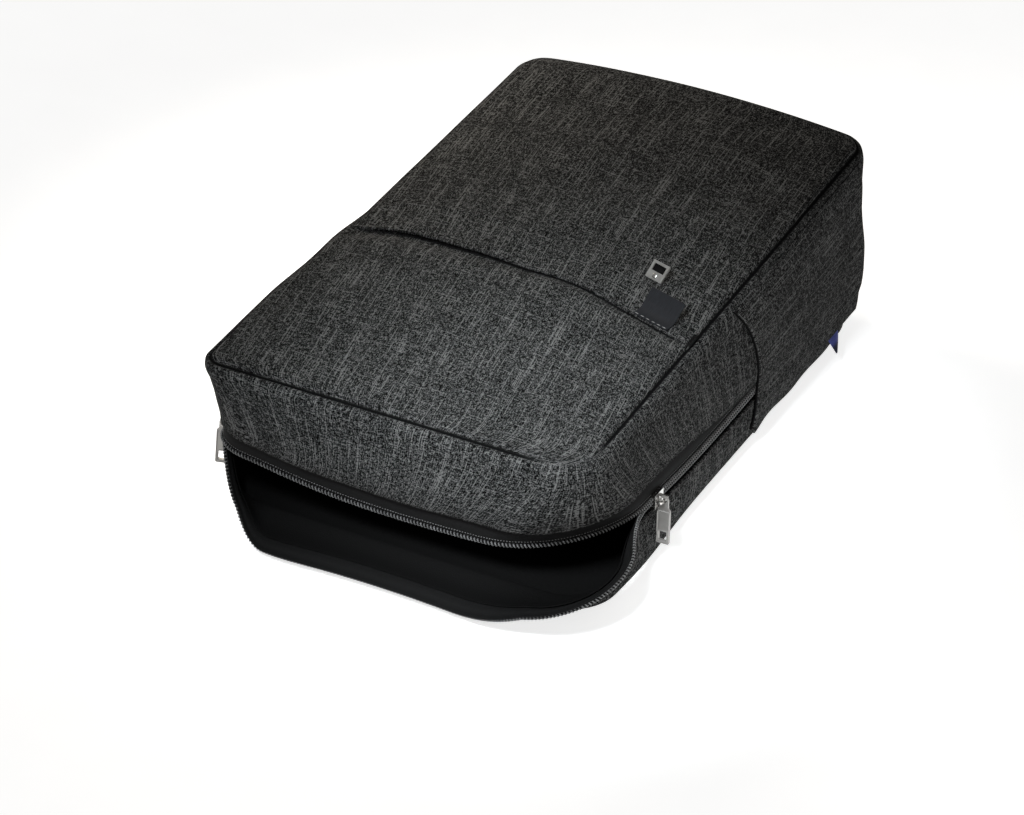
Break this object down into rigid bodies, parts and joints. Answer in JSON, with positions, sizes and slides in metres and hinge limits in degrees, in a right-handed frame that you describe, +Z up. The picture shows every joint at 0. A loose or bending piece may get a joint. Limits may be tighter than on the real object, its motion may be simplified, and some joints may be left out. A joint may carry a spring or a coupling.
{
  "type": "laptop backpack",
  "caption": "Slim laptop backpack in charcoal flecked cloth, lying on its back with the main zip open round the top end, metal pulls, a small label and a metal loop on the front pocket.",
  "frame": {"origin": "middle of the bag's bounding box, on the surface that the bag lies on", "axes": "+X to the wearer's left side of the bag, +Y from the top end to the bottom end, +Z up from the back panel to the front panel"},
  "size_m": [0.3198, 0.4876, 0.1576],
  "materials": {
    "flecked_cloth": "matt flecked weave",
    "lining": "matt black lining",
    "webbing": "matt woven tape",
    "black_nylon": "satin",
    "nickel": "polished nickel plate",
    "label_satin": "smooth satin weave",
    "tag_blue": "smooth woven tag"
  },
  "bodies": {
    "bag": {"front_upper": "flecked_cloth", "front_pocket": "flecked_cloth", "top_gusset": "flecked_cloth", "lower_lip": "flecked_cloth", "base_gusset": "flecked_cloth", "side_pocket_left": "flecked_cloth", "side_pocket_right": "flecked_cloth", "back_panel": "flecked_cloth", "strap_left": "flecked_cloth", "strap_right": "flecked_cloth", "floor_lining": "lining", "lip_lining": "lining", "zip_tape_upper": "webbing", "zip_tape_lower": "webbing", "strap_web_left": "webbing", "strap_web_right": "webbing", "grab_handle": "webbing", "zip_chain_upper": "black_nylon", "zip_chain_lower": "black_nylon", "strap_adjuster_left": "black_nylon", "strap_adjuster_right": "black_nylon", "slider_left": "nickel", "slider_right": "nickel", "front_loop": "nickel", "front_label": "label_satin", "side_tag": "tag_blue"},
    "pull_right": {"pull_right": "nickel"},
    "pull_left": {"pull_left": "nickel"}
  },
  "joints": [
    {"name": "pull_right_swing", "type": "hinge", "parent": "bag", "child": "pull_right", "pos_m": [0.14892, -0.11717, 0.05376], "axis": [0, -1, 0], "range_deg": [0, 150]},
    {"name": "pull_left_swing", "type": "hinge", "parent": "bag", "child": "pull_left", "pos_m": [-0.15228, -0.18117, 0.05784], "axis": [0, 1, 0], "range_deg": [0, 150]}
  ]
}
